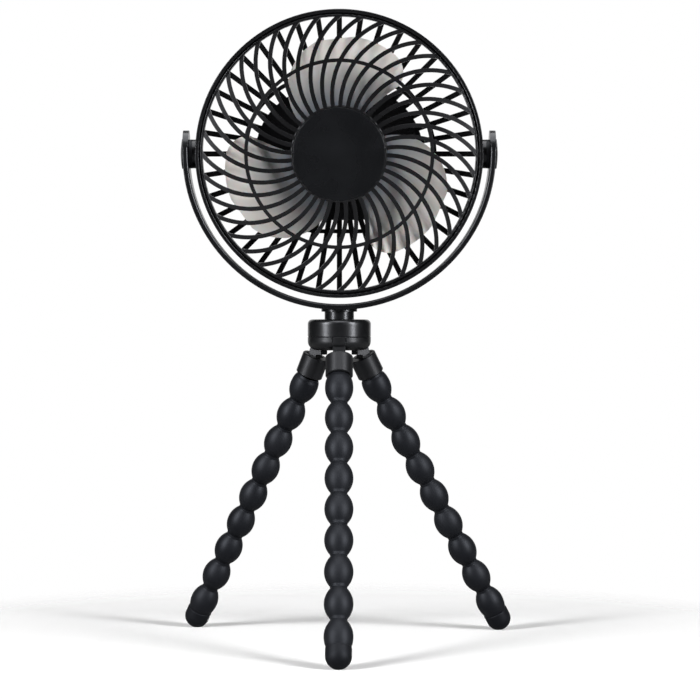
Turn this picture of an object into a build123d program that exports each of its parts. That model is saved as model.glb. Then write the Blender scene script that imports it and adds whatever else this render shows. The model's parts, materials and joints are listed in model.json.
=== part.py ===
from build123d import *
import os
from math import acos, asin, cos, degrees, radians, sin, sqrt, tan

# Rechargeable personal fan on a tripod with three bendable legs, in millimetres and degrees.
# The floor is z = 0, the swivel axis is Z and the fan blows towards -Y.

# Fits and clearances
cut_overrun = 1.0
press_gap = 0.02
run_gap = 0.05
face_gap = 0.1
free_gap = 0.3

# Stance of the legs, the left one is folded in a little and its sleeve bent to the back
collar_azimuths = {"front": 270.0, "right": 30.0, "left": 150.0}
sleeve_azimuths = {"front": 270.0, "right": 30.0, "left": 140.0}
collar_tilts = {"front": 29.0, "right": 29.0, "left": 24.0}
widest_collar_tilt = 31.0
front_sleeve_tilt = 31.0
hinge_radius = 14.1

# Leg collars and their hinge pins
collar_radius = 6.6
collar_rise = 2.5
collar_drop = 9.2
collar_chamfer = 0.4
hinge_pin_radius = 1.25
hinge_pin_sink = 1.4

# Leg sleeves, cut into beads at their necks
bead_count = 9
bead_pitch = 16.1
first_bead_length = 13.3
bead_radius = 6.8
neck_radius = 4.1
first_neck_radius = 5.6
neck_ball_radius = 2.0
sway_cone_angle = 11.5
curl_cone_angle = 13.5

# Foot caps
foot_radius = 6.15
foot_lip_drop = 13.7
foot_lip_chamfer = 0.4
foot_step = 0.45
foot_centre_drop = 17.8
foot_plug_radius = 4.2
foot_plug_length = 5.0
foot_flat_depth = 0.35

# Hub under the swivel
hub_radius = 15.35
hub_over_hinge = 5.2
hub_lower_height = 6.5
hub_upper_height = 8.4
hub_wall = 2.6
hub_top_rounding = 2.2
hub_bottom_rounding = 4.4
hub_seam_chamfer = 0.25
lug_width = 6.0
lug_radius = 2.5
lug_root_radius = 13.0
lug_web_radius = 8.6
lug_groove_width = 0.5
lug_groove_depth = 0.7
hub_screw_radius = 1.2
hub_screw_circle = 9.4
hub_screw_head_radius = 2.1
hub_screw_head_height = 1.3
hub_screw_grip = 5.0
hub_post_radius = 2.7

# Cross recesses in screw heads, as shares of the head's radius and height
recess_reach_share = 1.3
recess_width_share = 0.34
recess_depth_share = 0.6

# Swivel post, washer and screw
post_radius = 7.15
post_height = 3.8
spigot_radius = 4.0
swivel_washer_radius = 6.0
swivel_washer_thickness = 1.0
swivel_screw_radius = 1.5
swivel_screw_head_radius = 2.9
swivel_screw_head_height = 1.8

# Yoke
yoke_inner_radius = 72.9
yoke_thickness = 2.8
yoke_width = 20.0
yoke_inner_rounding = 1.1
yoke_outer_rounding = 0.5
yoke_end_rise = 11.4
yoke_pad_radius = 8.7
yoke_pad_height = 0.9

# Tilt pivots, the head nods a little towards the front
head_nod = 3.0
boss_radius = 7.0
boss_reach = 1.7
tilt_screw_radius = 2.0
tilt_screw_head_radius = 3.6
tilt_screw_head_height = 1.1
tilt_screw_grip = 1.7
pivot_cap_radius = 7.2
pivot_cap_edge = 0.6
pivot_cap_dome = 0.7

# Head rim, forward is positive
rim_radius = 69.5
rim_half_depth = 11.0
rim_band = 1.75
rim_inner_radius = 65.85
rim_rounding = 0.7
lip_rounding = 0.35
rim_groove = 0.75
rim_groove_depth = 3.0
front_rim_depth = 5.0
rim_ledge = 0.8
rim_ledge_thickness = 1.4

# Grille ribs
rib_count = 40
front_rib_width = 2.05
front_rib_depth = 2.2
front_rib_curve_radius = 37.6
front_rib_turn = 78.0
front_rib_sweep = 25.5
front_dome_rise = 8.6
front_dome_bulge = 1.2
front_ring_radius = 44.8
front_ring_width = 1.75
rear_rib_width = 2.6
rear_rib_depth = 2.4
rear_dome_rise = 7.6
rear_dome_bulge = 0.8
rear_ring_half_width = 47.7
rear_ring_half_height = 39.0
rear_ring_bar = 2.0

# Grille hub and its cap
grille_hub_radius = 23.3
grille_hub_depth = 3.0
grille_hub_rounding = 0.7
hub_cap_radius = 22.3
hub_cap_thickness = 1.0
hub_cap_rounding = 0.3
hub_cap_gap = 0.15

# Housing behind the rear grille
housing_half_width = 41.2
housing_half_height = 32.4
housing_wall = 2.0
housing_front = 12.0
housing_split = 30.0
housing_back = 43.0
housing_back_rounding = 4.0
cover_screw_x = 24.0
cover_screw_z = 22.2
cover_screw_radius = 1.2
cover_screw_head_radius = 2.2
cover_screw_head_height = 1.5
cover_screw_reach = 22.0
cover_screw_sink = 1.2
cover_post_radius = 3.0

# Motor and its seat
motor_radius = 13.8
motor_front = 5.0
motor_length = 18.0
motor_seat_wall = 2.0
shaft_radius = 1.0
shaft_tail = 14.0
bushing_radius = 3.0
bushing_reach = 2.6
motor_screw_circle = 8.0
motor_screw_radius = 1.0
motor_screw_head_radius = 1.9
motor_screw_head_height = 1.0
motor_screw_grip = 2.5

# Impeller
impeller_hub_radius = 20.5
impeller_wall = 1.8
impeller_front = 14.0
impeller_back = 8.5
impeller_boss_radius = 4.5
impeller_boss_length = 3.2
blade_count = 3
blade_tip_radius = 56.9
blade_thickness = 1.4
blade_advance = 8.4
blade_lead_angle = 6.0
blade_span_share = 1.8
blade_root_share = 0.2
leading_edge_angles = (307.0, 318.5, 349.0)
leading_edge_shares = (0.345, 0.66, 0.975)
tip_angles = (6.0, 28.0)
tip_shares = (1.0, 0.965)
nose_angles = (36.9, 41.5)
nose_shares = (0.9, 0.77)
trailing_edge_angles = (37.3, 29.5)
trailing_edge_shares = (0.58, 0.345)

# Cells, circuit board and what is on it
cell_radius = 9.1
cell_length = 65.0
cell_spacing = 19.0
cell_nub_radius = 2.8
cell_nub_length = 1.0
board_half_width = 18.0
board_half_height = 27.5
board_thickness = 1.6
board_standoff = 4.9
board_standoff_radius = 2.2
board_standoff_x = 14.0
board_standoff_z = 22.0
socket_width = 9.0
socket_height = 3.2
socket_depth = 7.4
socket_wall = 0.35
socket_inset = 0.2
switch_side = 6.0
switch_body_height = 2.2
switch_plunger_radius = 1.7

# Power button and charge lights
button_radius = 6.0
button_proud = 0.9
button_travel = 0.6
button_flange_radius = 7.2
button_flange_thickness = 0.8
button_side_gap = 0.15
light_count = 4
light_radius = 0.9
light_spacing = 4.0
light_drop = 14.0
light_length = 2.6

# Heights that follow from the legs
neck_alongs = [0.0] + [first_bead_length + k * bead_pitch for k in range(bead_count - 1)]
foot_centre_along = neck_alongs[-1] + foot_centre_drop
first_neck_height = foot_radius - foot_flat_depth + foot_centre_along * cos(radians(front_sleeve_tilt))
hinge_height = first_neck_height + collar_drop * cos(radians(collar_tilts["front"]))
hub_bottom = hinge_height + hub_over_hinge
hub_seam = hub_bottom + hub_lower_height
hub_top = hub_seam + hub_upper_height
hub_cavity_radius = hub_radius - hub_wall
hub_ceiling = hub_top - hub_wall
yoke_bottom = hub_top + post_height
yoke_outer_radius = yoke_inner_radius + yoke_thickness
pivot_height = yoke_bottom + yoke_pad_height + yoke_outer_radius
neck_socket_radius = neck_ball_radius + run_gap

# Planes of the head: as seen from the front, and a half section of radius and forward depth
head_centre = Vector(0, 0, pivot_height)
head_front = Plane(head_centre, x_dir=(1, 0, 0), z_dir=(0, -1, 0))
head_section = Plane(head_centre, x_dir=(1, 0, 0), z_dir=(0, 0, -1))
head_axis = Axis(head_centre, (0, -1, 0))
tilt_axis = Axis(head_centre, (1, 0, 0))
yoke_axis = Axis(head_centre, (0, 1, 0))

os.makedirs("parts", exist_ok=True)


def save(part, name):
    """Label a finished piece and write it."""
    part.label = name
    export_step(part, f"parts/{name}.step")


def save_in_head(part, name):
    """Write a piece of the head, made upright, at the angle that the head stands at."""
    save(part.rotate(tilt_axis, head_nod), name)


def spoke(azimuth):
    """Upright plane through the swivel axis, of radius towards an azimuth and height."""
    outward = Vector(1, 0, 0).rotate(Axis.Z, azimuth)
    across = Vector(0, -1, 0).rotate(Axis.Z, azimuth)
    return Plane((0, 0, 0), x_dir=outward, z_dir=across)


def leg_plane(origin, azimuth, tilt):
    """Plane of a leg: its X runs down the leg, its Y points up and out, its Z runs across."""
    down = Vector(0, 0, -1).rotate(Axis.Y, -tilt).rotate(Axis.Z, azimuth)
    across = Vector(0, -1, 0).rotate(Axis.Z, azimuth)
    return Plane(origin, x_dir=down, z_dir=across)


def long_axis(plane):
    """Axis along the X direction of a leg's plane."""
    return Axis(plane.origin, plane.x_dir)


def cross_recess(head_radius):
    """Cross for a driver in a screw head."""
    for turn in (0, 90):
        Rectangle(recess_reach_share * head_radius, recess_width_share * head_radius, rotation=turn)


def polar_point(angle, radius):
    """Point at an angle clockwise from the top, as seen from the front."""
    return (radius * sin(radians(angle)), radius * cos(radians(angle)))


def cone_rim(neck, radius, angle):
    """Point where a neck's end cone meets a radius, the cone's tip being on the neck's centre."""
    return (neck + radius * tan(radians(angle)), radius)


# Legs: collar, beads and foot cap

def leg_collar(plane):
    """Collar with a slot for the hub's lug, a blind pin bore and the ball of the first neck."""
    slot_width = lug_width + 2 * free_gap
    slot_reach = collar_rise + collar_radius
    closed_end = Vector(-slot_reach, 0)
    widest_end = closed_end.rotate(Axis.Z, -widest_collar_tilt)
    with BuildPart() as collar:
        with BuildSketch(plane):
            with BuildLine():
                ball = CenterArc((collar_drop, 0), neck_ball_radius, 0, 90 + sway_cone_angle)
                rim = cone_rim(collar_drop, collar_radius - collar_chamfer, -sway_cone_angle)
                Polyline(
                    ball @ 1,
                    rim,
                    (rim[0] - collar_chamfer, collar_radius),
                    (collar_chamfer - collar_rise, collar_radius),
                    (-collar_rise, collar_radius - collar_chamfer),
                    (-collar_rise, 0),
                    ball @ 0,
                )
            make_face()
        revolve(axis=long_axis(plane))
        with BuildSketch(plane):
            with Locations((0, 0), closed_end, widest_end):
                Circle(lug_radius + free_gap)
            make_hull()
        extrude(amount=slot_width / 2, both=True, mode=Mode.SUBTRACT)
        with BuildSketch(plane):
            Circle(hinge_pin_radius + run_gap)
        extrude(amount=collar_radius - hinge_pin_sink + face_gap, both=True, mode=Mode.SUBTRACT)
    return collar.part


def belly_arc(belly, end):
    """Stretch of an ellipse about a bead's axis, from the belly to a point at one of the bead's ends."""
    along = end[0] - belly
    height_share = end[1] / bead_radius
    turn = degrees(asin(height_share))
    EllipticalCenterArc(
        (belly, 0),
        abs(along) / sqrt(1 - height_share**2),
        bead_radius,
        start_angle=turn if along > 0 else 90,
        arc_size=90 - turn,
    )


def sleeve_bead(plane, number):
    """Bead of a sleeve, with a socket in its upper end and a ball or the foot's plug at its lower end."""
    top = neck_alongs[number - 1]
    first, last = number == 1, number == bead_count
    top_cone = sway_cone_angle if first else curl_cone_angle
    top_rim = cone_rim(top, first_neck_radius if first else neck_radius, top_cone)
    bottom = top + (first_bead_length if first else bead_pitch)
    belly = bottom - bead_pitch / 2
    with BuildPart() as bead:
        with BuildSketch(plane):
            with BuildLine():
                socket = CenterArc((top, 0), neck_socket_radius, 0, 90 - top_cone)
                Line(socket @ 1, top_rim)
                belly_arc(belly, top_rim)
                if last:
                    lip = top + foot_lip_drop
                    plug_end = lip + foot_plug_length
                    end_rim = (lip, foot_radius - foot_step)
                    belly_arc(belly, end_rim)
                    Polyline(
                        end_rim,
                        (lip, foot_plug_radius),
                        (plug_end, foot_plug_radius),
                        (plug_end, 0),
                        socket @ 0,
                    )
                else:
                    bottom_rim = cone_rim(bottom, neck_radius, -curl_cone_angle)
                    ball = CenterArc((bottom, 0), neck_ball_radius, 0, 90 + curl_cone_angle)
                    belly_arc(belly, bottom_rim)
                    Line(bottom_rim, ball @ 1)
                    Line(ball @ 0, socket @ 0)
            make_face()
        revolve(axis=long_axis(plane))
    return bead.part


def foot_cap(plane):
    """Round-ended cap pressed over the sleeve's plug, with a small flat where it stands."""
    lip = neck_alongs[-1] + foot_lip_drop
    floor = lip + foot_plug_length + press_gap
    bore = foot_plug_radius + press_gap
    with BuildPart() as foot:
        with BuildSketch(plane):
            with BuildLine():
                end = CenterArc((foot_centre_along, 0), foot_radius, 0, 90)
                Polyline(
                    end @ 1,
                    (lip + foot_lip_chamfer, foot_radius),
                    (lip, foot_radius - foot_lip_chamfer),
                    (lip, bore),
                    (floor, bore),
                    (floor, 0),
                    end @ 0,
                )
            make_face()
        revolve(axis=long_axis(plane))
        split(bisect_by=Plane.XY, keep=Keep.TOP)
    return foot.part


for side, azimuth in collar_azimuths.items():
    hinge = Vector(hinge_radius, 0, hinge_height).rotate(Axis.Z, azimuth)
    collar_plane = leg_plane(hinge, azimuth, collar_tilts[side])
    first_neck = collar_plane.from_local_coords(Vector(collar_drop, 0, 0))
    sleeve_tilt = degrees(acos((first_neck.Z - foot_radius + foot_flat_depth) / foot_centre_along))
    sleeve_plane = leg_plane(first_neck, sleeve_azimuths[side], sleeve_tilt)
    save(leg_collar(collar_plane), f"{side}_leg_collar")
    for number in range(1, bead_count + 1):
        save(sleeve_bead(sleeve_plane, number), f"{side}_leg_bead_{number}")
    save(foot_cap(sleeve_plane), f"{side}_leg_foot")


# Hub: lower shell with the leg lugs, upper shell, screws and hinge pins

hub_post_angles = [azimuth + 180 for azimuth in collar_azimuths.values()]
hub_screw_places = [Vector(hub_screw_circle, 0).rotate(Axis.Z, angle) for angle in hub_post_angles]

with BuildPart() as hub_lower:
    with BuildSketch(Plane.XZ):
        with BuildLine():
            corner = CenterArc(
                (hub_radius - hub_bottom_rounding, hub_bottom + hub_bottom_rounding),
                hub_bottom_rounding,
                -90,
                90,
            )
            Polyline(
                corner @ 1,
                (hub_radius, hub_seam - hub_seam_chamfer),
                (hub_radius - hub_seam_chamfer, hub_seam),
                (hub_cavity_radius, hub_seam),
                (hub_cavity_radius, hub_bottom + hub_wall),
                (0, hub_bottom + hub_wall),
                (0, hub_bottom),
                corner @ 0,
            )
        make_face()
    revolve(axis=Axis.Z)
    with BuildSketch(Plane.XY.offset(hub_bottom + hub_wall)):
        with Locations(*hub_screw_places):
            Circle(hub_post_radius)
    extrude(amount=hub_lower_height - hub_wall)
    for azimuth in collar_azimuths.values():
        with BuildSketch(spoke(azimuth)):
            with Locations((hinge_radius, hinge_height)):
                Circle(lug_radius)
            with Locations((lug_root_radius, hub_seam)):
                Rectangle(
                    lug_root_radius - hinge_radius + lug_radius,
                    hub_lower_height,
                    align=(Align.MAX, Align.MAX),
                )
            make_hull()
        extrude(amount=lug_width / 2, both=True)
        with BuildSketch(spoke(azimuth)):
            with Locations((lug_root_radius, hub_bottom + hub_wall)):
                Rectangle(
                    lug_root_radius - lug_web_radius,
                    hub_wall + hub_over_hinge - collar_rise - free_gap,
                    align=(Align.MAX, Align.MAX),
                )
        extrude(amount=lug_width / 2, both=True)
        with BuildSketch(spoke(azimuth)):
            with Locations((hinge_radius, hinge_height)):
                Circle(hinge_pin_radius + press_gap)
        extrude(amount=lug_width, both=True, mode=Mode.SUBTRACT)
        groove_shift = (lug_width + lug_groove_width) / 2
        for groove_side in (groove_shift, -groove_shift):
            with BuildSketch(spoke(azimuth).offset(groove_side)):
                with Locations((hub_radius + cut_overrun, hub_seam + cut_overrun)):
                    Rectangle(
                        lug_groove_depth + cut_overrun,
                        hub_lower_height + 2 * cut_overrun,
                        align=(Align.MAX, Align.MAX),
                    )
            extrude(amount=lug_groove_width / 2, both=True, mode=Mode.SUBTRACT)
    with BuildSketch(Plane.XY.offset(hub_bottom - cut_overrun)):
        with Locations(*hub_screw_places):
            Circle(hub_screw_radius + press_gap)
    extrude(amount=hub_lower_height + 2 * cut_overrun, mode=Mode.SUBTRACT)
    with BuildSketch(Plane.XY.offset(hub_bottom - cut_overrun)):
        with Locations(*hub_screw_places):
            Circle(hub_screw_head_radius + free_gap)
    extrude(amount=hub_screw_head_height + cut_overrun, mode=Mode.SUBTRACT)
save(hub_lower.part, "hub_lower")

with BuildPart() as hub_upper:
    with BuildSketch(Plane.XZ):
        with BuildLine():
            corner = CenterArc(
                (hub_radius - hub_top_rounding, hub_top - hub_top_rounding), hub_top_rounding, 0, 90
            )
            spigot_hole_radius = spigot_radius + run_gap
            Polyline(
                corner @ 1,
                (spigot_hole_radius, hub_top),
                (spigot_hole_radius, hub_ceiling),
                (hub_cavity_radius, hub_ceiling),
                (hub_cavity_radius, hub_seam),
                (hub_radius - hub_seam_chamfer, hub_seam),
                (hub_radius, hub_seam + hub_seam_chamfer),
                corner @ 0,
            )
        make_face()
    revolve(axis=Axis.Z)
    with BuildSketch(Plane.XY.offset(hub_seam)):
        with Locations(*hub_screw_places):
            Circle(hub_post_radius)
            Circle(hub_screw_radius + press_gap, mode=Mode.SUBTRACT)
    extrude(amount=hub_ceiling - hub_seam)
save(hub_upper.part, "hub_upper")

with BuildPart() as hub_screws:
    with BuildSketch(Plane.XY.offset(hub_bottom)):
        with Locations(*hub_screw_places):
            Circle(hub_screw_head_radius)
    extrude(amount=hub_screw_head_height)
    with BuildSketch(Plane.XY.offset(hub_bottom)):
        with Locations(*hub_screw_places):
            Circle(hub_screw_radius)
    extrude(amount=hub_lower_height + hub_screw_grip)
    with BuildSketch(Plane.XY.offset(hub_bottom)):
        with Locations(*hub_screw_places):
            cross_recess(hub_screw_head_radius)
    extrude(amount=recess_depth_share * hub_screw_head_height, mode=Mode.SUBTRACT)
save(hub_screws.part, "hub_screws")

with BuildPart() as leg_hinge_pins:
    for azimuth in collar_azimuths.values():
        with BuildSketch(spoke(azimuth)):
            with Locations((hinge_radius, hinge_height)):
                Circle(hinge_pin_radius)
        extrude(amount=collar_radius - hinge_pin_sink, both=True)
save(leg_hinge_pins.part, "leg_hinge_pins")


# Swivel: post under the yoke, washer and screw inside the hub

spigot_bottom = hub_ceiling - face_gap
swivel_bore_radius = swivel_screw_radius + press_gap
post_bottom = hub_top + face_gap

with BuildPart() as swivel_post:
    with BuildSketch(Plane.XZ):
        with BuildLine():
            Polyline(
                (swivel_bore_radius, spigot_bottom),
                (spigot_radius, spigot_bottom),
                (spigot_radius, post_bottom),
                (post_radius, post_bottom),
                (post_radius, yoke_bottom),
                (swivel_bore_radius, yoke_bottom),
                close=True,
            )
        make_face()
    revolve(axis=Axis.Z)
save(swivel_post.part, "swivel_post")

with BuildPart() as swivel_washer:
    with BuildSketch(Plane.XY.offset(spigot_bottom)):
        Circle(swivel_washer_radius)
        Circle(swivel_bore_radius, mode=Mode.SUBTRACT)
    extrude(amount=-swivel_washer_thickness)
save(swivel_washer.part, "swivel_washer")

swivel_screw_seat = spigot_bottom - swivel_washer_thickness
swivel_screw_tip = yoke_bottom + yoke_pad_height + yoke_thickness / 2

with BuildPart() as swivel_screw:
    with BuildSketch(Plane.XY.offset(swivel_screw_seat)):
        Circle(swivel_screw_head_radius)
    extrude(amount=-swivel_screw_head_height)
    with BuildSketch(Plane.XY.offset(swivel_screw_seat)):
        Circle(swivel_screw_radius)
    extrude(amount=swivel_screw_tip - swivel_screw_seat)
save(swivel_screw.part, "swivel_screw")


# Yoke and tilt pivots, made on the right side and mirrored

def pivot_plane(reach):
    """Plane square to the tilt axis, at a distance from the head's centre."""
    return Plane((reach, 0, pivot_height), x_dir=(0, 1, 0), z_dir=(1, 0, 0))


cap_seat = yoke_outer_radius
head_seat = yoke_outer_radius - face_gap - tilt_screw_head_height
boss_end = rim_radius + boss_reach
washer_end = yoke_inner_radius - face_gap
end_centre_rise = yoke_end_rise - yoke_width / 2

with BuildPart() as yoke:
    with BuildSketch(head_section) as strap:
        with Locations((yoke_inner_radius + yoke_thickness / 2, 0)):
            Rectangle(yoke_thickness, yoke_width)
        corners = strap.vertices().sort_by(Axis.X)
        fillet(corners[:2], yoke_inner_rounding)
        fillet(strap.vertices().sort_by(Axis.X)[-2:], yoke_outer_rounding)
    revolve(axis=yoke_axis, revolution_arc=90)
    extrude(strap.sketch, amount=-yoke_end_rise)
    with BuildSketch(pivot_plane(0)):
        with Locations((0, end_centre_rise)):
            Circle(yoke_width / 2)
            Rectangle(
                yoke_width + cut_overrun,
                end_centre_rise + yoke_outer_radius + cut_overrun,
                align=(Align.CENTER, Align.MAX),
            )
    extrude(amount=yoke_outer_radius + cut_overrun, mode=Mode.INTERSECT)
    with BuildSketch(pivot_plane(yoke_inner_radius)):
        Circle(boss_radius + free_gap)
    extrude(amount=-yoke_thickness, mode=Mode.SUBTRACT)
    with BuildSketch(pivot_plane(yoke_inner_radius - cut_overrun)):
        Circle(tilt_screw_radius + run_gap)
    extrude(amount=yoke_thickness + 2 * cut_overrun, mode=Mode.SUBTRACT)
    with BuildSketch(pivot_plane(head_seat - face_gap)):
        Circle(tilt_screw_head_radius + free_gap)
    extrude(amount=yoke_thickness, mode=Mode.SUBTRACT)
    mirror(about=Plane.YZ)
    with BuildSketch(Plane.XY.offset(yoke_bottom)):
        Circle(yoke_pad_radius)
    extrude(amount=yoke_pad_height + yoke_thickness / 2)
    with BuildSketch(Plane.XY.offset(yoke_bottom - cut_overrun)):
        Circle(swivel_bore_radius)
    extrude(amount=swivel_screw_tip - yoke_bottom + cut_overrun, mode=Mode.SUBTRACT)
save(yoke.part, "yoke")

with BuildPart() as pivot_caps:
    with BuildSketch(Plane((0, 0, pivot_height), x_dir=(1, 0, 0), z_dir=(0, -1, 0))):
        with BuildLine():
            edge = cap_seat + pivot_cap_edge
            dome = ThreePointArc(
                (edge, pivot_cap_radius),
                (edge + pivot_cap_dome, 0),
                (edge, -pivot_cap_radius),
            )
            Polyline(dome @ 1, (cap_seat, -pivot_cap_radius), (cap_seat, pivot_cap_radius), dome @ 0)
        make_face()
        with Locations((cap_seat, 0)):
            Rectangle(
                2 * yoke_thickness,
                pivot_cap_radius + cut_overrun,
                align=(Align.MIN, Align.MAX),
                mode=Mode.SUBTRACT,
            )
    revolve(axis=tilt_axis)
    mirror(about=Plane.YZ)
save(pivot_caps.part, "pivot_caps")

with BuildPart() as tilt_washers:
    with BuildSketch(pivot_plane(boss_end)):
        Circle(boss_radius)
        Circle(tilt_screw_radius + press_gap, mode=Mode.SUBTRACT)
    extrude(amount=washer_end - boss_end)
    mirror(about=Plane.YZ)
save_in_head(tilt_washers.part, "tilt_washers")

with BuildPart() as tilt_screws:
    with BuildSketch(pivot_plane(head_seat)):
        Circle(tilt_screw_head_radius)
    extrude(amount=tilt_screw_head_height)
    with BuildSketch(pivot_plane(head_seat)):
        Circle(tilt_screw_radius)
    extrude(amount=rim_radius - tilt_screw_grip - head_seat)
    mirror(about=Plane.YZ)
save_in_head(tilt_screws.part, "tilt_screws")


# Front grille and its cap

rim_lip_radius = rim_radius - rim_band
front_rim_back = rim_half_depth - front_rim_depth
ledge_radius = rim_lip_radius - rim_ledge
ledge_front = front_rim_back - face_gap
ledge_back = ledge_front - rim_ledge_thickness
dome_edge = rim_half_depth - rim_rounding
dome_crown = dome_edge + front_dome_rise
hub_front = dome_crown + press_gap


def dome_outline(start, end, bulge, depth):
    """Closed band between an arched line from start to end and the same line moved by a depth."""
    middle = ((start[0] + end[0]) / 2, (start[1] + end[1]) / 2 + bulge)
    ThreePointArc(start, middle, end)
    Line(end, (end[0], end[1] - depth))
    ThreePointArc(
        (end[0], end[1] - depth), (middle[0], middle[1] - depth), (start[0], start[1] - depth)
    )
    Line((start[0], start[1] - depth), start)


with BuildSketch() as front_rib:
    with BuildLine():
        CenterArc(
            (front_rib_curve_radius, grille_hub_radius), front_rib_curve_radius, 180, -front_rib_turn
        )
    trace(line_width=front_rib_width)
    with Locations((0, grille_hub_radius)):
        Rectangle(front_rib_width, 2 * front_rib_width)

with BuildPart() as front_grille:
    with BuildSketch(head_front):
        Circle(front_ring_radius + front_ring_width / 2)
        Circle(front_ring_radius - front_ring_width / 2, mode=Mode.SUBTRACT)
        with PolarLocations(0, rib_count, start_angle=front_rib_sweep):
            add(front_rib.sketch)
    extrude(amount=dome_crown + cut_overrun)
    with BuildSketch(head_section):
        with BuildLine():
            dome_outline(
                (hub_cap_radius + hub_cap_gap, dome_crown),
                ((rim_inner_radius + rim_lip_radius) / 2, dome_edge),
                front_dome_bulge,
                front_rib_depth,
            )
        make_face()
    revolve(axis=head_axis, mode=Mode.INTERSECT)
    with BuildSketch(head_section):
        with BuildLine():
            Polyline(
                (rim_inner_radius, front_rim_back),
                (rim_lip_radius - press_gap, front_rim_back),
                (rim_lip_radius - press_gap, rim_half_depth - rim_groove_depth),
                (rim_lip_radius - rim_groove, rim_half_depth - rim_groove_depth),
                (rim_lip_radius - rim_groove, rim_half_depth),
                (rim_inner_radius, rim_half_depth),
                close=True,
            )
        front_rim = make_face()
        fillet(front_rim.vertices().group_by(Axis.Y)[-1], lip_rounding)
    revolve(axis=head_axis)
    with BuildSketch(head_section):
        with BuildLine():
            Polyline(
                (0, hub_front - grille_hub_depth),
                (grille_hub_radius, hub_front - grille_hub_depth),
                (grille_hub_radius, hub_front),
                (hub_cap_radius + hub_cap_gap, hub_front),
                (hub_cap_radius + hub_cap_gap, hub_front - hub_cap_thickness),
                (0, hub_front - hub_cap_thickness),
                close=True,
            )
        grille_hub = make_face()
        fillet(grille_hub.vertices().group_by(Axis.Y)[-1].sort_by(Axis.X)[-1], grille_hub_rounding)
    revolve(axis=head_axis)
save_in_head(front_grille.part, "front_grille")

with BuildPart() as hub_cap:
    with BuildSketch(head_front.offset(hub_front - hub_cap_thickness)):
        Circle(hub_cap_radius)
    extrude(amount=hub_cap_thickness)
    fillet(hub_cap.edges().sort_by(Axis.Y)[0], hub_cap_rounding)
save_in_head(hub_cap.part, "hub_cap")


# Rear grille with the housing and motor seat moulded to it

housing_inner_half_height = housing_half_height - housing_wall
housing_floor = housing_front + housing_wall
cover_ceiling = housing_back - housing_wall
motor_seat_radius = motor_radius + press_gap + motor_seat_wall
motor_seat_front = motor_front + motor_seat_wall
motor_screw_places = [(motor_screw_circle, 0), (-motor_screw_circle, 0)]
cover_screw_places = [
    (x, z) for x in (cover_screw_x, -cover_screw_x) for z in (cover_screw_z, -cover_screw_z)
]
rear_dome_edge = rear_rib_depth - dome_edge


def housing_outline(inset):
    """Stadium outline of the housing, a distance inside its outer face."""
    SlotOverall(2 * (housing_half_width - inset), 2 * (housing_half_height - inset))


with BuildPart() as rear_grille:
    with BuildSketch(head_front.offset(-housing_split)):
        SlotOverall(2 * rear_ring_half_width, 2 * rear_ring_half_height)
        SlotOverall(
            2 * (rear_ring_half_width - rear_ring_bar),
            2 * (rear_ring_half_height - rear_ring_bar),
            mode=Mode.SUBTRACT,
        )
        with PolarLocations((rim_lip_radius + housing_inner_half_height) / 2, rib_count):
            Rectangle(rim_lip_radius - housing_inner_half_height + rim_band, rear_rib_width)
    extrude(amount=housing_split)
    with BuildSketch(head_section):
        with BuildLine():
            dome_outline(
                (housing_inner_half_height, rear_dome_edge - rear_dome_rise),
                (rim_lip_radius + rim_band / 2, rear_dome_edge),
                -rear_dome_bulge,
                rear_rib_depth,
            )
        make_face()
    revolve(axis=head_axis, mode=Mode.INTERSECT)
    with BuildSketch(head_section):
        with BuildLine():
            Polyline(
                (rim_lip_radius, rim_half_depth),
                (rim_radius, rim_half_depth),
                (rim_radius, -rim_half_depth),
                (rim_lip_radius, -rim_half_depth),
                (rim_lip_radius, ledge_back),
                (ledge_radius, ledge_back),
                (ledge_radius, ledge_front),
                (rim_lip_radius, ledge_front),
                close=True,
            )
        rear_rim = make_face()
        fillet(rear_rim.vertices().group_by(Axis.Y)[-1], lip_rounding)
        fillet(rear_rim.vertices().group_by(Axis.Y)[0].sort_by(Axis.X)[-1], rim_rounding)
    revolve(axis=head_axis)
    with BuildSketch(head_front.offset(-housing_split)):
        housing_outline(0)
    extrude(amount=housing_split - housing_front)
    with BuildSketch(head_front.offset(-housing_split - cut_overrun)):
        housing_outline(housing_wall)
    extrude(amount=housing_split + cut_overrun - housing_floor, mode=Mode.SUBTRACT)
    with BuildSketch(head_front.offset(-housing_split)):
        with Locations(*cover_screw_places):
            Circle(cover_post_radius)
            Circle(cover_screw_radius + press_gap, mode=Mode.SUBTRACT)
    extrude(amount=housing_split - housing_front)
    with BuildSketch(head_front.offset(-housing_floor)):
        Circle(motor_seat_radius)
    extrude(amount=housing_floor + motor_seat_front)
    with BuildSketch(head_front.offset(-housing_floor - cut_overrun)):
        Circle(motor_radius + press_gap)
    extrude(amount=housing_floor + cut_overrun + motor_front, mode=Mode.SUBTRACT)
    with BuildSketch(head_front.offset(motor_front - cut_overrun)):
        Circle(bushing_radius + free_gap)
        with Locations(*motor_screw_places):
            Circle(motor_screw_radius + press_gap)
    extrude(amount=motor_seat_wall + 2 * cut_overrun, mode=Mode.SUBTRACT)
    for turn in (1, -1):
        with BuildSketch(pivot_plane(turn * rim_lip_radius)):
            Circle(boss_radius)
        extrude(amount=turn * (boss_end - rim_lip_radius))
        with BuildSketch(pivot_plane(turn * (rim_radius - tilt_screw_grip))):
            Circle(tilt_screw_radius + press_gap)
        extrude(amount=turn * (tilt_screw_grip + boss_reach + cut_overrun), mode=Mode.SUBTRACT)
save_in_head(rear_grille.part, "rear_grille")


# Rear cover, its screws, the power button and the charge lights

board_back = cover_ceiling - board_standoff
socket_middle = board_back + socket_height / 2
cover_screw_seat = housing_back - cover_screw_sink - cover_screw_head_height
light_places = [
    ((number - (light_count - 1) / 2) * light_spacing, -light_drop) for number in range(light_count)
]

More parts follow.
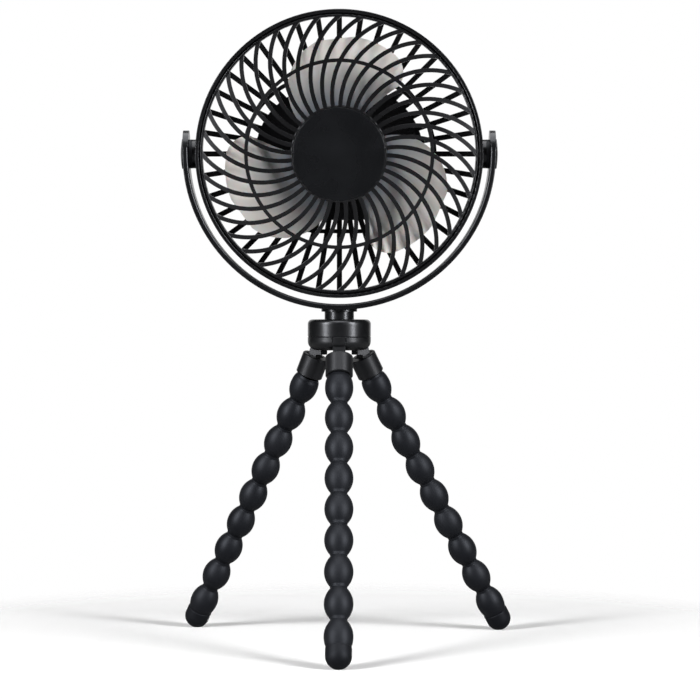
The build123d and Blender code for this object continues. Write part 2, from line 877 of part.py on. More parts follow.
with BuildPart() as rear_cover:
    with BuildSketch(head_front.offset(-housing_split)):
        housing_outline(0)
    extrude(amount=housing_split - housing_back)
    fillet(rear_cover.edges().group_by(Axis.Y)[-1], housing_back_rounding)
    with BuildSketch(head_front.offset(cut_overrun - housing_split)):
        housing_outline(housing_wall)
    extrude(amount=housing_split - cut_overrun - cover_ceiling, mode=Mode.SUBTRACT)
    with BuildSketch(head_front.offset(-housing_split)):
        with Locations(*cover_screw_places):
            Circle(cover_post_radius)
    extrude(amount=housing_split - cover_ceiling)
    with BuildSketch(head_front.offset(-board_back)):
        with GridLocations(2 * board_standoff_x, 2 * board_standoff_z, 2, 2):
            Circle(board_standoff_radius)
    extrude(amount=-board_standoff)
    with BuildSketch(head_front.offset(cut_overrun - housing_split)):
        with Locations(*cover_screw_places):
            Circle(cover_screw_radius + press_gap)
    extrude(amount=housing_split - cut_overrun - housing_back - cut_overrun, mode=Mode.SUBTRACT)
    with BuildSketch(head_front.offset(-cover_screw_seat)):
        with Locations(*cover_screw_places):
            Circle(cover_screw_head_radius + free_gap)
    extrude(amount=cover_screw_seat - housing_back - cut_overrun, mode=Mode.SUBTRACT)
    with BuildSketch(head_front.offset(cut_overrun - cover_ceiling)):
        Circle(button_radius + button_side_gap)
        with Locations(*light_places):
            Circle(light_radius + press_gap)
    extrude(amount=-housing_wall - 2 * cut_overrun, mode=Mode.SUBTRACT)
    with BuildSketch(Plane.XY.offset(pivot_height - housing_half_height - cut_overrun)):
        with Locations((0, socket_middle)):
            RectangleRounded(
                socket_width + 2 * free_gap, socket_height + 2 * free_gap, socket_height / 2
            )
    extrude(amount=housing_wall + 2 * cut_overrun, mode=Mode.SUBTRACT)
save_in_head(rear_cover.part, "rear_cover")

with BuildPart() as cover_screws:
    with BuildSketch(head_front.offset(-cover_screw_seat)):
        with Locations(*cover_screw_places):
            Circle(cover_screw_head_radius)
    extrude(amount=-cover_screw_head_height)
    with BuildSketch(head_front.offset(-cover_screw_seat)):
        with Locations(*cover_screw_places):
            Circle(cover_screw_radius)
    extrude(amount=cover_screw_reach)
    with BuildSketch(head_front.offset(-cover_screw_seat - cover_screw_head_height)):
        with Locations(*cover_screw_places):
            cross_recess(cover_screw_head_radius)
    extrude(amount=recess_depth_share * cover_screw_head_height, mode=Mode.SUBTRACT)
save_in_head(cover_screws.part, "cover_screws")

button_seat = cover_ceiling - face_gap
switch_tip = button_seat - button_flange_thickness - button_travel - free_gap

with BuildPart() as power_button:
    with BuildSketch(head_front.offset(-button_seat)):
        Circle(button_radius)
    extrude(amount=button_seat - housing_back - button_proud)
    fillet(power_button.edges().group_by(Axis.Y)[-1], button_proud / 2)
    with BuildSketch(head_front.offset(-button_seat)):
        Circle(button_flange_radius)
    extrude(amount=button_flange_thickness)
save_in_head(power_button.part, "power_button")

with BuildPart() as charge_lights:
    with BuildSketch(head_front.offset(-housing_back)):
        with Locations(*light_places):
            Circle(light_radius)
    extrude(amount=light_length)
save_in_head(charge_lights.part, "charge_lights")


# Circuit board with its charging socket and switch, and the cells

with BuildPart() as circuit_board:
    with BuildSketch(head_front.offset(-board_back)):
        Rectangle(2 * board_half_width, 2 * board_half_height)
    extrude(amount=board_thickness)
save_in_head(circuit_board.part, "circuit_board")

socket_mouth = pivot_height - housing_half_height + socket_inset
socket_bore_width = socket_width - 2 * socket_wall
socket_bore_height = socket_height - 2 * socket_wall

with BuildPart() as charging_socket:
    with BuildSketch(Plane.XY.offset(socket_mouth)):
        with Locations((0, socket_middle)):
            SlotOverall(socket_width, socket_height)
    extrude(amount=socket_depth)
    with BuildSketch(Plane.XY.offset(socket_mouth)):
        with Locations((0, socket_middle)):
            SlotOverall(socket_bore_width, socket_bore_height)
            Rectangle(
                socket_bore_width - socket_bore_height, socket_bore_height / 3, mode=Mode.SUBTRACT
            )
    extrude(amount=socket_depth - socket_wall, mode=Mode.SUBTRACT)
save_in_head(charging_socket.part, "charging_socket")

with BuildPart() as tact_switch:
    with BuildSketch(head_front.offset(-board_back)):
        Rectangle(switch_side, switch_side)
    extrude(amount=-switch_body_height)
    with BuildSketch(head_front.offset(-board_back)):
        Circle(switch_plunger_radius)
    extrude(amount=board_back - switch_tip)
save_in_head(tact_switch.part, "tact_switch")

cell_middle = housing_floor + face_gap + cell_radius

with BuildPart() as battery_cells:
    with BuildSketch(Plane.YZ.offset(-cell_length / 2)):
        with Locations((cell_middle, pivot_height)):
            with GridLocations(0, cell_spacing, 1, 2):
                Circle(cell_radius)
    extrude(amount=cell_length)
    with BuildSketch(Plane.YZ.offset(cell_length / 2)):
        with Locations((cell_middle, pivot_height)):
            with GridLocations(0, cell_spacing, 1, 2):
                Circle(cell_nub_radius)
    extrude(amount=cell_nub_length)
save_in_head(battery_cells.part, "battery_cells")


# Motor, its bushing and screws

motor_back = motor_length - motor_front
shaft_back = shaft_tail - motor_front
shaft_bore_radius = shaft_radius + run_gap

with BuildPart() as motor_can:
    with BuildSketch(head_front.offset(-motor_back)):
        Circle(motor_radius)
    extrude(amount=motor_length)
    with BuildSketch(head_front.offset(motor_front)):
        Circle(shaft_bore_radius)
    extrude(amount=-shaft_tail - face_gap, mode=Mode.SUBTRACT)
    with BuildSketch(head_front.offset(motor_front)):
        with Locations(*motor_screw_places):
            Circle(motor_screw_radius + press_gap)
    extrude(amount=-motor_screw_grip - face_gap, mode=Mode.SUBTRACT)
save_in_head(motor_can.part, "motor_can")

with BuildPart() as motor_bushing:
    with BuildSketch(head_front.offset(motor_front)):
        Circle(bushing_radius)
        Circle(shaft_bore_radius, mode=Mode.SUBTRACT)
    extrude(amount=bushing_reach)
save_in_head(motor_bushing.part, "motor_bushing")

with BuildPart() as motor_screws:
    with BuildSketch(head_front.offset(motor_seat_front)):
        with Locations(*motor_screw_places):
            Circle(motor_screw_head_radius)
    extrude(amount=motor_screw_head_height)
    with BuildSketch(head_front.offset(motor_seat_front)):
        with Locations(*motor_screw_places):
            Circle(motor_screw_radius)
    extrude(amount=-motor_seat_wall - motor_screw_grip)
save_in_head(motor_screws.part, "motor_screws")


# Impeller on the motor shaft

impeller_inner_front = impeller_front - impeller_wall
impeller_boss_back = impeller_inner_front - impeller_boss_length
shaft_tip = impeller_inner_front - face_gap

with BuildPart() as motor_shaft:
    with BuildSketch(head_front.offset(-shaft_back)):
        Circle(shaft_radius)
    extrude(amount=shaft_back + shaft_tip)
save_in_head(motor_shaft.part, "motor_shaft")


def blade_points(angles, shares):
    """Points of the blade's outline, from angles and shares of the tip radius."""
    return [polar_point(angle, share * blade_tip_radius) for angle, share in zip(angles, shares)]


def blade_section(share):
    """Plane across the blade at a share of the tip radius, turned to the blade's pitch there."""
    reach = share * blade_tip_radius
    section = Plane(head_centre + Vector(0, 0, reach), x_dir=(1, 0, 0), z_dir=(0, 0, 1))
    pitch = Vector(reach, blade_advance).get_angle(Vector(1, 0))
    return section.rotated((0, 0, -pitch))


leading_points = blade_points(leading_edge_angles, leading_edge_shares)
tip_points = blade_points(tip_angles, tip_shares)
nose_points = blade_points(nose_angles, nose_shares)
trailing_points = blade_points(trailing_edge_angles, trailing_edge_shares)
blade_foot_middle = polar_point(-blade_lead_angle, leading_edge_shares[0] * blade_tip_radius)

with BuildPart() as blade_sheet:
    for share in (blade_root_share, leading_edge_shares[1], leading_edge_shares[2]):
        with BuildSketch(blade_section(share)):
            Rectangle(blade_span_share * blade_tip_radius, blade_thickness)
    loft()

with BuildPart() as blade:
    with BuildSketch(head_front.offset(-impeller_front)):
        with BuildLine():
            ThreePointArc(*leading_points)
            ThreePointArc(leading_points[-1], *tip_points)
            ThreePointArc(tip_points[-1], *nose_points)
            ThreePointArc(nose_points[-1], *trailing_points)
            ThreePointArc(trailing_points[-1], blade_foot_middle, leading_points[0])
        make_face()
    extrude(amount=2 * impeller_front)
    add(blade_sheet.part.rotate(head_axis, blade_lead_angle), mode=Mode.INTERSECT)

with BuildPart() as impeller:
    with BuildSketch(head_section):
        with BuildLine():
            Polyline(
                (0, impeller_front),
                (impeller_hub_radius, impeller_front),
                (impeller_hub_radius, -impeller_back),
                (impeller_hub_radius - impeller_wall, -impeller_back),
                (impeller_hub_radius - impeller_wall, impeller_inner_front),
                (impeller_boss_radius, impeller_inner_front),
                (impeller_boss_radius, impeller_boss_back),
                (shaft_radius + press_gap, impeller_boss_back),
                (shaft_radius + press_gap, impeller_inner_front),
                (0, impeller_inner_front),
                close=True,
            )
        make_face()
    revolve(axis=head_axis)
    for turn in range(blade_count):
        add(blade.part.rotate(head_axis, turn * 360 / blade_count))
save_in_head(impeller.part, "impeller")
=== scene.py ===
import json
from math import cos, exp, pi, radians, sin, sqrt, tau

import bmesh
import bpy
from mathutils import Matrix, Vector


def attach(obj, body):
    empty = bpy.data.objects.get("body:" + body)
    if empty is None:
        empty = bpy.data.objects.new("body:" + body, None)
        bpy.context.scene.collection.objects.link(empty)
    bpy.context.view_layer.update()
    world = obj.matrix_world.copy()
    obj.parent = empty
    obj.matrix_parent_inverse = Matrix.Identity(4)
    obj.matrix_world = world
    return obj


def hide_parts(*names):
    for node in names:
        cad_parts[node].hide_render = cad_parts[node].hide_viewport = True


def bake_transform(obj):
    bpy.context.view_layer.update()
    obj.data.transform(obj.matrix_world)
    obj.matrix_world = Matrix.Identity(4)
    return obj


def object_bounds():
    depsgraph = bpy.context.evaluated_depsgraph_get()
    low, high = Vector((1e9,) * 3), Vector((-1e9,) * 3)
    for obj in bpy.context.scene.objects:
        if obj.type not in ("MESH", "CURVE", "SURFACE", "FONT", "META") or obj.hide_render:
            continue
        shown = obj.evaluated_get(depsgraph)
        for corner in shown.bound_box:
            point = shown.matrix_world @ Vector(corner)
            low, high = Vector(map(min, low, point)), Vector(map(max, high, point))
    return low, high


# Looks of a rechargeable personal fan on a tripod with bendable legs, in metres, in the CAD frame.
# The CAD pieces keep their shapes and get finishes, and the rubber legs get soft sleeves.

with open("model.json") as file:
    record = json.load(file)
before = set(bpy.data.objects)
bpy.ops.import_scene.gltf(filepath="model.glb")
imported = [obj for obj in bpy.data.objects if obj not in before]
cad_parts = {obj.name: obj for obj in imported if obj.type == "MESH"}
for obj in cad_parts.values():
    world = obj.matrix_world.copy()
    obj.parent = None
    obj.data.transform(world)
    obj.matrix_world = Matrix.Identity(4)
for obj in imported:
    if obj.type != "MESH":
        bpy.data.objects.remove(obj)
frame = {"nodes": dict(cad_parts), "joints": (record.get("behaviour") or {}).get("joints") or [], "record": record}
cad_low, cad_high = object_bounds()
nodes = frame["nodes"]
joints = {joint["name"]: joint for joint in frame["joints"]}
slot_of = {part["node"]: part["material_slot"] for part in frame["record"]["subparts"]}
sides = ("front", "right", "left")
mm = 0.001
head_centre = Vector(joints["tilt"]["pos_m"])

# Sizes of the legs' soft pieces
bead_count = 9
belly_radius = 6.8 * mm
notch_radius = 3.1 * mm
notch_softness = 0.6 * mm
neck_ring_height = 0.3 * mm
neck_ring_half_width = 0.45 * mm
mouth_radius = 5.45 * mm
mouth_depth = 1.1 * mm
lip_inset = 0.3 * mm
foot_lip_drop = 13.7 * mm
foot_centre_drop = 17.8 * mm
foot_radius = 6.15 * mm
foot_step = 0.45 * mm
foot_lip_rounding = 0.5 * mm
seam_height = 0.05 * mm
seam_half_width = 0.25 * mm

# Steps of the legs' meshes; those at a mould seam count in half widths of the seam
seam_steps = (-2, -1, 0, 1, 2)
seam_clearance = 2.5
turn_steps = 56
half_neck_rows = 30
end_rows = 24
lip_steps = 8


# Finishes: noise scales are in features per metre, and reliefs have real depths

noise_low = 0.3
noise_high = 0.7
noise_roughness = 0.55
grain_detail = 2.0
edge_samples = 4


class Finish:
    """A material under construction: short calls for its nodes and links."""

    def __init__(self, name):
        self.material = bpy.data.materials.new(name)
        self.material.use_nodes = True
        self.tree = self.material.node_tree
        self.shader = self.tree.nodes["Principled BSDF"]
        self.place = self.node("ShaderNodeTexCoord").outputs["Object"]

    def node(self, kind, **settings):
        made = self.tree.nodes.new(kind)
        for name, value in settings.items():
            setattr(made, name, value)
        return made

    def link(self, output, socket):
        self.tree.links.new(output, socket)

    def noise(self, scale, detail=3.0):
        """Soft noise over the piece."""
        made = self.node("ShaderNodeTexNoise")
        made.inputs["Scale"].default_value = scale
        made.inputs["Detail"].default_value = detail
        made.inputs["Roughness"].default_value = noise_roughness
        self.link(self.place, made.inputs["Vector"])
        return made.outputs["Fac"]

    def ramp(self, factor, stops):
        """Colour over a factor, from pairs of place and colour."""
        made = self.node("ShaderNodeValToRGB")
        elements = made.color_ramp.elements
        while len(elements) < len(stops):
            elements.new(1.0)
        for element, (place, colour) in zip(elements, stops):
            element.position = place
            element.color = (*colour, 1.0)
        self.link(factor, made.inputs["Fac"])
        return made.outputs["Color"]

    def spread(self, factor, low, high, start=noise_low, end=noise_high):
        """A factor's stretch from start to end drawn out to the range from low to high."""
        made = self.node("ShaderNodeMapRange")
        for name, value in zip(("From Min", "From Max", "To Min", "To Max"), (start, end, low, high)):
            made.inputs[name].default_value = value
        self.link(factor, made.inputs["Value"])
        return made.outputs["Result"]

    def relief(self, height, depth, edge=None):
        """Bump of a real depth, over edges softened by a small radius where one is given."""
        bump = self.node("ShaderNodeBump")
        bump.inputs["Strength"].default_value = 1.0
        bump.inputs["Distance"].default_value = depth
        self.link(height, bump.inputs["Height"])
        if edge:
            bevel = self.node("ShaderNodeBevel", samples=edge_samples)
            bevel.inputs["Radius"].default_value = edge
            self.link(bevel.outputs["Normal"], bump.inputs["Normal"])
        self.link(bump.outputs["Normal"], self.shader.inputs["Normal"])

    def colour(self, output):
        self.link(output, self.shader.inputs["Base Color"])

    def gloss(self, output):
        self.link(output, self.shader.inputs["Roughness"])

    def constant(self, **values):
        for name, value in values.items():
            self.shader.inputs[name.replace("_", " ")].default_value = value


moulded_gloss_tint = (0.92, 0.94, 1.0, 1.0)
moulded_cloud_scale = 45.0
moulded_colour_drift = 0.18
moulded_gloss_drift = 0.12
moulded_grain_scale = 2600.0
moulded_grain_depth = 0.006 * mm
moulded_edge = 0.25 * mm
cap_grain_scale = 4200.0
strap_grain_depth = 0.0005 * mm
board_grain_scale = 900.0
cell_grain_scale = 700.0


def moulded(name, colour, roughness, shine=0.5, grain=moulded_grain_scale, depth=moulded_grain_depth):
    """Moulded plastic: fine tool grain, with colour and gloss that drift a little over the piece."""
    finish = Finish(name)
    clouds = finish.noise(moulded_cloud_scale)
    dark = [channel * (1 - moulded_colour_drift) for channel in colour]
    light = [channel * (1 + moulded_colour_drift) for channel in colour]
    finish.colour(finish.ramp(clouds, ((noise_low, dark), (noise_high, light))))
    smooth = roughness * (1 - moulded_gloss_drift)
    dull = roughness * (1 + moulded_gloss_drift)
    finish.gloss(finish.spread(clouds, smooth, dull))
    finish.relief(finish.noise(grain, grain_detail), depth, moulded_edge)
    finish.constant(Specular_IOR_Level=shine, Specular_Tint=moulded_gloss_tint)
    return finish.material


rubber_gloss_tint = (0.83, 0.88, 1.0, 1.0)
rubber_pebble_scale = 3400.0
rubber_pebble_depth = 0.012 * mm
dust_scale = 70.0
dust_detail = 5.0
dust_start = 0.35
dust_end = 0.75
dust_gain = 1.3
dust_lift = 0.002
dust_dulling = 0.1


def soft_rubber(name, colour, roughness, shine=0.3):
    """Matte rubber: a dull skin with a fine pebble and faint dusty patches."""
    finish = Finish(name)
    dust = finish.noise(dust_scale, dust_detail)
    dusty = [channel * dust_gain + dust_lift for channel in colour]
    finish.colour(finish.ramp(dust, ((dust_start, colour), (dust_end, dusty))))
    finish.gloss(finish.spread(dust, roughness, roughness + dust_dulling))
    finish.relief(finish.noise(rubber_pebble_scale), rubber_pebble_depth)
    finish.constant(Specular_IOR_Level=shine, Specular_Tint=rubber_gloss_tint)
    return finish.material


# Painted shade: between these radii the blade colour darkens from warm grey at the tip to blue-grey at the root,
# standing in for the hub's shade
blade_root_shade_start = 20 * mm
blade_root_shade_end = 57 * mm
blade_tints_with_root_shade = (
    (0.0, (0.045, 0.054, 0.075)),
    (0.16, (0.32, 0.34, 0.38)),
    (0.42, (0.54, 0.54, 0.535)),
    (0.75, (0.78, 0.745, 0.715)),
)
blade_cloud_scale = 60.0
blade_smooth = 0.32
blade_dull = 0.42
blade_grain_scale = 2200.0
blade_grain_depth = 0.004 * mm
blade_edge = 0.2 * mm
blade_glow = 0.15
blade_glow_depth = 2 * mm


def blade_plastic(name):
    """Pale satin plastic, warm grey at the tip, with painted shade darkening it to blue-grey towards the root."""
    finish = Finish(name)
    offset = finish.node("ShaderNodeVectorMath", operation="SUBTRACT")
    offset.inputs[1].default_value = head_centre
    finish.link(finish.place, offset.inputs[0])
    flat = finish.node("ShaderNodeVectorMath", operation="MULTIPLY")
    flat.inputs[1].default_value = (1, 0, 1)
    finish.link(offset.outputs["Vector"], flat.inputs[0])
    reach = finish.node("ShaderNodeVectorMath", operation="LENGTH")
    finish.link(flat.outputs["Vector"], reach.inputs[0])
    # Painted shade: the colour darkens towards the root, by distance from the spin axis
    root_shade_share = finish.spread(reach.outputs["Value"], 0.0, 1.0, blade_root_shade_start, blade_root_shade_end)
    finish.colour(finish.ramp(root_shade_share, blade_tints_with_root_shade))
    clouds = finish.noise(blade_cloud_scale)
    finish.gloss(finish.spread(clouds, blade_smooth, blade_dull))
    finish.relief(finish.noise(blade_grain_scale, grain_detail), blade_grain_depth, blade_edge)
    finish.constant(Subsurface_Weight=blade_glow, Subsurface_Scale=blade_glow_depth)
    return finish.material


metal_mark_scale = 900.0
metal_mark_detail = 6.0
metal_mark_shade = 0.85
metal_smooth_share = 0.8
metal_dull_share = 1.25
metal_grain_scale = 4000.0
metal_grain_depth = 0.003 * mm


def bare_metal(name, colour, roughness):
    """Machined metal with small darker marks and a fine grain."""
    finish = Finish(name)
    marks = finish.noise(metal_mark_scale, metal_mark_detail)
    dark = [channel * metal_mark_shade for channel in colour]
    finish.colour(finish.ramp(marks, ((noise_low, dark), (noise_high, colour))))
    finish.gloss(finish.spread(marks, roughness * metal_smooth_share, roughness * metal_dull_share))
    finish.relief(finish.noise(metal_grain_scale, grain_detail), metal_grain_depth)
    finish.constant(Metallic=1.0)
    return finish.material


window_cloud_scale = 1500.0
window_dark = (0.62, 0.66, 0.7)
window_light = (0.78, 0.81, 0.84)
window_smooth = 0.25
window_dull = 0.4
window_grain_depth = 0.005 * mm
window_clearness = 0.3
window_refraction = 1.45


def light_window(name):
    """Milky light window."""
    finish = Finish(name)
    clouds = finish.noise(window_cloud_scale)
    finish.colour(finish.ramp(clouds, ((noise_low, window_dark), (noise_high, window_light))))
    finish.gloss(finish.spread(clouds, window_smooth, window_dull))
    finish.relief(clouds, window_grain_depth)
    finish.constant(Transmission_Weight=window_clearness, IOR=window_refraction)
    return finish.material


finishes = {
    "grille_plastic": moulded("grille_plastic", (0.0042, 0.0042, 0.0046), 0.26, shine=0.34),
    "cap_plastic": moulded(
        "cap_plastic", (0.0042, 0.0045, 0.0052), 0.28, shine=0.3, grain=cap_grain_scale
    ),
    "housing_plastic": moulded("housing_plastic", (0.0075, 0.0077, 0.0085), 0.4),
    "frame_plastic": moulded(
        "frame_plastic", (0.0028, 0.003, 0.0034), 0.28, shine=0.42, depth=strap_grain_depth
    ),
    "hub_plastic": moulded("hub_plastic", (0.003, 0.0032, 0.0036), 0.3),
    "hub_lower": moulded("hub_lower", (0.003, 0.0032, 0.0036), 0.36, shine=0.42),
    "collar_plastic": moulded("collar_plastic", (0.0035, 0.0037, 0.0044), 0.42, shine=0.4),
    "button_plastic": moulded("button_plastic", (0.02, 0.0205, 0.022), 0.36),
    "switch_plastic": moulded("switch_plastic", (0.02, 0.02, 0.02), 0.5),
    "board": moulded("board", (0.012, 0.09, 0.035), 0.4, grain=board_grain_scale),
    "cell": moulded("cell", (0.03, 0.09, 0.25), 0.3, grain=cell_grain_scale),
    "sleeve_rubber": soft_rubber("sleeve_rubber", (0.0032, 0.0036, 0.005), 0.48, shine=0.27),
    "foot_rubber": soft_rubber("foot_rubber", (0.0025, 0.0028, 0.0038), 0.5, shine=0.2),
    "washer_rubber": soft_rubber("washer_rubber", (0.012, 0.012, 0.013), 0.5),
    "blade_plastic": blade_plastic("blade_plastic"),
    "light_lens": light_window("light_lens"),
    "steel": bare_metal("steel", (0.6, 0.6, 0.6), 0.28),
    "bushing_brass": bare_metal("bushing_brass", (0.75, 0.55, 0.25), 0.35),
}

# A piece takes its slot's finish, apart from the lower hub shell, which is duller than the upper one
for name, piece in nodes.items():
    piece.data.materials.clear()
    piece.data.materials.append(finishes.get(name, finishes[slot_of[name]]))


# Legs: one soft sleeve per leg, cut at the bellies of its beads, and a foot cap

def lathe(name, origin, down, across, profile, finish_slot, seamed=False):
    """Turned piece from pairs of distance along an axis and radius, with faint mould seams if asked."""
    outward = across.cross(down)
    seam_angle = seam_half_width / belly_radius
    angles = [k * tau / turn_steps for k in range(turn_steps)]
    if seamed:
        clear = seam_clearance * seam_angle
        angles = [angle for angle in angles if min(angle % pi, pi - angle % pi) > clear]
        angles += [seam + step * seam_angle for seam in (0, pi) for step in seam_steps]
    angles = sorted(angle % tau for angle in angles)
    mesh = bmesh.new()
    rings = []
    for along, radius in profile:
        ring = []
        for angle in angles:
            from_seam = min(angle % pi, pi - angle % pi) * belly_radius / seam_half_width
            ridge = seam_height * max(0.0, 1.0 - from_seam) if seamed else 0.0
            turned = outward * cos(angle) + across * sin(angle)
            ring.append(mesh.verts.new(origin + down * along + turned * (radius + ridge)))
        rings.append(ring)
    for upper, lower in zip(rings, rings[1:]):
        for k in range(len(angles)):
            following = (k + 1) % len(angles)
            face = mesh.faces.new((upper[k], upper[following], lower[following], lower[k]))
            face.smooth = True
    bmesh.ops.recalc_face_normals(mesh, faces=mesh.faces)
    data = bpy.data.meshes.new(name)
    mesh.to_mesh(data)
    mesh.free()
    data.materials.append(finishes[finish_slot])
    piece = bpy.data.objects.new(name, data)
    bpy.context.scene.collection.objects.link(piece)
    return piece


def bead_radius(from_belly, reach, end_radius):
    """Radius of a bead at a distance from its belly: one arc from the belly to an end at some reach."""
    sag = belly_radius - end_radius
    arc = (reach**2 + sag**2) / (2 * sag)
    return belly_radius - arc + sqrt(arc**2 - from_belly**2)


def quarter_turn(steps):
    """Angles from zero to a right angle."""
    return [k / steps * pi / 2 for k in range(steps + 1)]


def neck_profile(half_length):
    """Two half beads with a soft notch and a low ring between them, measured from the notch."""
    # The rows lie closest together at the notch
    profile = []
    for k in range(-half_neck_rows, half_neck_rows + 1):
        along = half_length * k / half_neck_rows * sqrt(abs(k) / half_neck_rows)
        from_notch = sqrt(along**2 + notch_softness**2)
        ring = neck_ring_height * exp(-((along / neck_ring_half_width) ** 2))
        profile.append((along, bead_radius(half_length - from_notch, half_length, notch_radius) + ring))
    return profile


def build_leg(side):
    """Sleeve pieces, one across each neck, and the foot cap."""
    necks = [Vector(joints[f"{side}_leg_sway"]["pos_m"])]
    necks += [Vector(joints[f"{side}_leg_curl_{k}"]["pos_m"]) for k in range(1, bead_count)]
    down = (necks[-1] - necks[0]).normalized()
    across = Vector(joints[f"{side}_leg_curl_1"]["axis"])
    half_pitch = (necks[2] - necks[1]).length / 2
    first_belly = (necks[1] - necks[0]).length - half_pitch

    profile = [(-mouth_depth, mouth_radius - lip_inset), (-mouth_depth / 2, mouth_radius)]
    for turn in quarter_turn(end_rows):
        along = first_belly * sin(turn)
        swell = sqrt(1 - (1 - along / first_belly) ** 2)
        profile.append((along, mouth_radius + (belly_radius - mouth_radius) * swell))
    mouth = lathe(f"{side}_sleeve_mouth", necks[0], down, across, profile, "sleeve_rubber", seamed=True)
    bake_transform(mouth)

    profile = neck_profile(half_pitch)
    for k in range(1, bead_count):
        piece = lathe(
            f"{side}_sleeve_neck_{k}", necks[k], down, across, profile, "sleeve_rubber", seamed=True
        )
        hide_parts(f"{side}_leg_bead_{k}")
        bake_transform(piece)

    last = necks[-1]
    tail_reach = foot_lip_drop - half_pitch
    tail_end = foot_radius - foot_step
    profile = []
    for k in range(end_rows + 1):
        along = tail_reach * k / end_rows
        profile.append((half_pitch + along, bead_radius(along, tail_reach, tail_end)))
    tail = lathe(f"{side}_sleeve_tail", last, down, across, profile, "sleeve_rubber", seamed=True)
    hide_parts(f"{side}_leg_bead_{bead_count}")
    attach(tail, f"{side}_bead_{bead_count}")

    profile = [(foot_lip_drop, tail_end - lip_inset)]
    for turn in quarter_turn(lip_steps):
        rise = foot_lip_rounding * (1 - sin(turn))
        profile.append((foot_lip_drop + foot_lip_rounding * (1 - cos(turn)), foot_radius - rise))
    for turn in quarter_turn(end_rows):
        profile.append((foot_centre_drop + foot_radius * sin(turn), foot_radius * cos(turn)))
    foot = lathe(f"{side}_foot_cap", last, down, across, profile, "foot_rubber")
    # The sole is flat where the foot stands on the floor
    for vertex in foot.data.vertices:
        vertex.co.z = max(vertex.co.z, 0.0)
    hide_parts(f"{side}_leg_foot")
    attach(foot, f"{side}_bead_{bead_count}")


for side in sides:
    build_leg(side)


# Studio: pale floor that fades into a white backdrop, three soft boxes, and the camera

floor_radius = 1.2
floor_segments = 96
floor_drop = 0.05 * mm
floor_bounce_albedo = 0.3
floor_seen_albedo = 1.0
floor_fade_start = 0.12
floor_fade_end = 0.26
room_front_strength = 0.045
room_back_strength = 1.0
room_fade_start = 0.74
room_fade_end = 0.94
side_box_azimuth = radians(52)
side_box_elevation = radians(20)
side_box_distance = 1.3
side_box_width = 0.26
side_box_height = 1.1
side_box_power = 23.5
top_box_elevation = radians(87)
top_box_distance = 1.1
top_box_width = 0.8
top_box_height = 1.3
top_box_power = 14.0
camera_place = Vector((5.2, -1275, 171.7)) * mm
camera_dip = radians(1.32)
camera_focal_pixels = 2620.0
image_pixels = 700.0


def build_floor():
    """Pale floor disc that keeps the shadows and fades out into the backdrop."""
    mesh = bmesh.new()
    bmesh.ops.create_circle(mesh, cap_ends=True, segments=floor_segments, radius=floor_radius)
    data = bpy.data.meshes.new("floor")
    mesh.to_mesh(data)
    mesh.free()
    floor = bpy.data.objects.new("floor", data)
    floor.location.z = -floor_drop
    bpy.context.scene.collection.objects.link(floor)

    finish = Finish("floor")
    tree = finish.tree
    tree.nodes.remove(finish.shader)
    ray = finish.node("ShaderNodeLightPath").outputs["Is Camera Ray"]
    pale = finish.spread(ray, floor_bounce_albedo, floor_seen_albedo, 0.0, 1.0)
    diffuse = finish.node("ShaderNodeBsdfDiffuse")
    finish.link(pale, diffuse.inputs["Color"])
    clear = finish.node("ShaderNodeBsdfTransparent")
    reach = finish.node("ShaderNodeVectorMath", operation="LENGTH")
    finish.link(finish.place, reach.inputs[0])
    fade = finish.spread(reach.outputs["Value"], 0.0, 1.0, floor_fade_start, floor_fade_end)
    seen_fade = finish.node("ShaderNodeMath", operation="MULTIPLY")
    finish.link(fade, seen_fade.inputs[0])
    finish.link(ray, seen_fade.inputs[1])
    mix = finish.node("ShaderNodeMixShader")
    finish.link(seen_fade.outputs["Value"], mix.inputs["Fac"])
    finish.link(diffuse.outputs["BSDF"], mix.inputs[1])
    finish.link(clear.outputs["BSDF"], mix.inputs[2])
    finish.link(mix.outputs["Shader"], tree.nodes["Material Output"].inputs["Surface"])
    data.materials.append(finish.material)


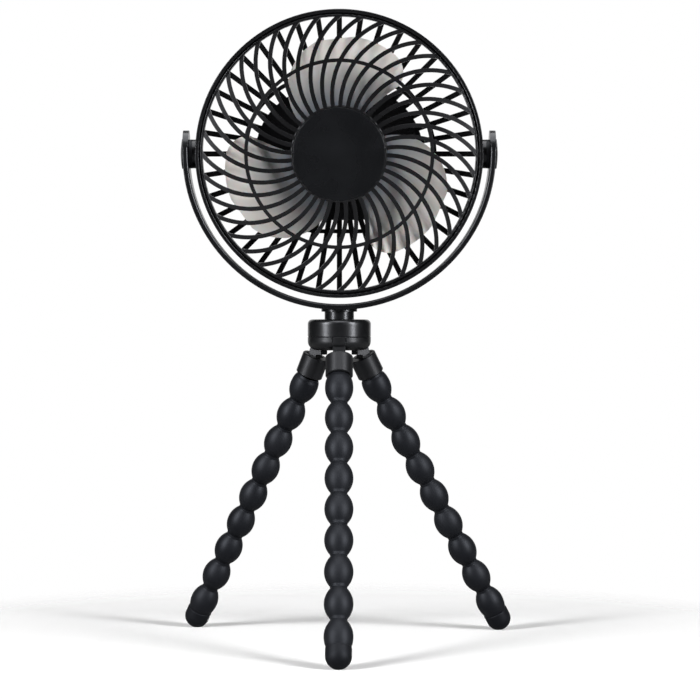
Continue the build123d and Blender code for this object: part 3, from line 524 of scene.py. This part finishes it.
def build_world():
    """White backdrop to the eye, and a dim room that pales the more a ray points to the back."""
    world = bpy.data.worlds.new("studio")
    world.use_nodes = True
    bpy.context.scene.world = world
    tree = world.node_tree
    ray = tree.nodes.new("ShaderNodeLightPath")
    place = tree.nodes.new("ShaderNodeTexCoord")
    split = tree.nodes.new("ShaderNodeSeparateXYZ")
    tree.links.new(place.outputs["Generated"], split.inputs["Vector"])
    room = tree.nodes.new("ShaderNodeMapRange")
    room.inputs["From Min"].default_value = room_fade_start
    room.inputs["From Max"].default_value = room_fade_end
    room.inputs["To Min"].default_value = room_front_strength
    room.inputs["To Max"].default_value = room_back_strength
    tree.links.new(split.outputs["Y"], room.inputs["Value"])
    seen = tree.nodes.new("ShaderNodeMath")
    seen.operation = "MAXIMUM"
    tree.links.new(ray.outputs["Is Camera Ray"], seen.inputs[0])
    tree.links.new(ray.outputs["Is Transmission Ray"], seen.inputs[1])
    strength = tree.nodes.new("ShaderNodeMath")
    strength.operation = "MAXIMUM"
    tree.links.new(seen.outputs["Value"], strength.inputs[0])
    tree.links.new(room.outputs["Result"], strength.inputs[1])
    background = tree.nodes["Background"]
    background.inputs["Color"].default_value = (1, 1, 1, 1)
    tree.links.new(strength.outputs["Value"], background.inputs["Strength"])


def build_soft_box(name, azimuth, elevation, distance, width, height, power, gloss_only=False):
    """Area lamp round the fan, its azimuth from the front to the right; it can show in gloss alone."""
    lamp = bpy.data.lights.new(name, "AREA")
    lamp.shape = "RECTANGLE"
    lamp.size = width
    lamp.size_y = height
    lamp.energy = power
    box = bpy.data.objects.new(name, lamp)
    aim = (cad_low + cad_high) / 2
    flat = distance * cos(elevation)
    box.location = aim + Vector((sin(azimuth) * flat, -cos(azimuth) * flat, distance * sin(elevation)))
    box.rotation_euler = (aim - box.location).to_track_quat("-Z", "Y").to_euler()
    box.visible_camera = False
    box.visible_diffuse = not gloss_only
    bpy.context.scene.collection.objects.link(box)


def build_camera():
    """Long lens a little above the hub, as in a catalogue view from the front."""
    data = bpy.data.cameras.new("camera")
    data.lens = camera_focal_pixels / image_pixels * data.sensor_width
    data.dof.use_dof = False
    camera = bpy.data.objects.new("camera", data)
    camera.location = camera_place
    camera.rotation_euler = (pi / 2 - camera_dip, 0, 0)
    bpy.context.scene.collection.objects.link(camera)
    bpy.context.scene.camera = camera


build_floor()
build_world()
for name, azimuth in (("soft_box_right", side_box_azimuth), ("soft_box_left", -side_box_azimuth)):
    build_soft_box(
        name,
        azimuth,
        side_box_elevation,
        side_box_distance,
        side_box_width,
        side_box_height,
        side_box_power,
    )
build_soft_box(
    "soft_box_top",
    0.0,
    top_box_elevation,
    top_box_distance,
    top_box_width,
    top_box_height,
    top_box_power,
    gloss_only=True,
)
build_camera()
bpy.context.scene.view_settings.view_transform = "Standard"
